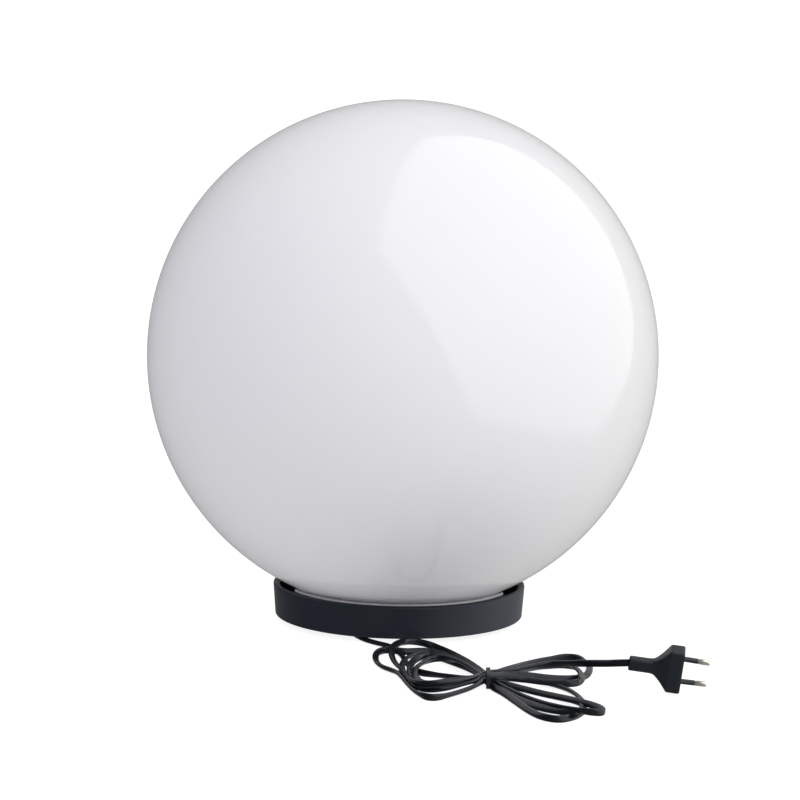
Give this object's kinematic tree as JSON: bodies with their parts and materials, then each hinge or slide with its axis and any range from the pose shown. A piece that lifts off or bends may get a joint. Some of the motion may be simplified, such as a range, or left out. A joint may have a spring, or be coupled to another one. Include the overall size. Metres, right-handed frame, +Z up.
{
  "type": "garden globe light",
  "caption": "Opal globe on a low round black base with a bayonet neck, a lampholder with a bulb inside, and a tied flat mains cord with a two-pin plug.",
  "frame": {"origin": "centre of the base on the ground, at the bottom of the object's box without its cord", "axes": "+Z up along the globe's axis, front towards -Y, +X to the right; the cord leaves towards the front"},
  "size_m": [0.4253, 0.5579, 0.4097],
  "materials": {
    "opal_acrylic": "gloss opal",
    "silicone": "matt",
    "black_plastic": "satin moulded",
    "screw_steel": "zinc plated",
    "foot_rubber": "matt",
    "pvc_black": "satin PVC",
    "white_plastic": "satin",
    "wire_brown": "satin PVC",
    "wire_blue": "satin PVC",
    "zinc_steel": "zinc plated",
    "holder_plastic": "satin",
    "brass": "satin",
    "bulb_metal": "satin",
    "dark_glass": "gloss",
    "board_aluminium": "matt",
    "frosted_plastic": "frosted",
    "tie_plastic": "satin",
    "plug_plastic": "satin PVC",
    "nickel": "nickel plated"
  },
  "bodies": {
    "root": {"neck_gasket": "silicone", "base_housing": "black_plastic", "base_plate": "black_plastic", "plate_screws": "screw_steel", "rubber_feet": "foot_rubber", "cord_grommet": "pvc_black", "cord_inner": "pvc_black", "clamp_saddle": "white_plastic", "cord_clamp": "white_plastic", "clamp_screws": "screw_steel", "terminal_block": "white_plastic", "terminal_screws": "screw_steel", "live_wire": "wire_brown", "neutral_wire": "wire_blue", "holder_bracket": "zinc_steel", "bracket_screws": "screw_steel", "holder_nipple": "zinc_steel", "nipple_nut": "zinc_steel", "holder_body": "holder_plastic", "holder_shell": "brass", "centre_contact": "brass", "side_contact": "brass", "cord_lead_out": "pvc_black", "cord_hank": "pvc_black", "cord_tie": "tie_plastic", "cord_lead_plug": "pvc_black", "plug_body": "plug_plastic", "plug_pins": "nickel", "pin_sleeves": "plug_plastic"},
    "globe": {"globe": "opal_acrylic"},
    "bulb": {"bulb_cap": "bulb_metal", "bulb_insulator": "dark_glass", "bulb_contact": "bulb_metal", "bulb_housing": "white_plastic", "bulb_led_board": "board_aluminium", "bulb_diffuser": "frosted_plastic"}
  },
  "joints": [
    {"name": "globe_twist", "type": "hinge", "parent": "root", "child": "globe", "pos_m": [0, 0, 0.0247], "axis": [0, 0, 1], "range_deg": [0, 60]},
    {"name": "bulb_lift", "type": "slide", "parent": "root", "child": "bulb", "axis": [0, 0, 1], "range_m": [0, 0.024]}
  ]
}
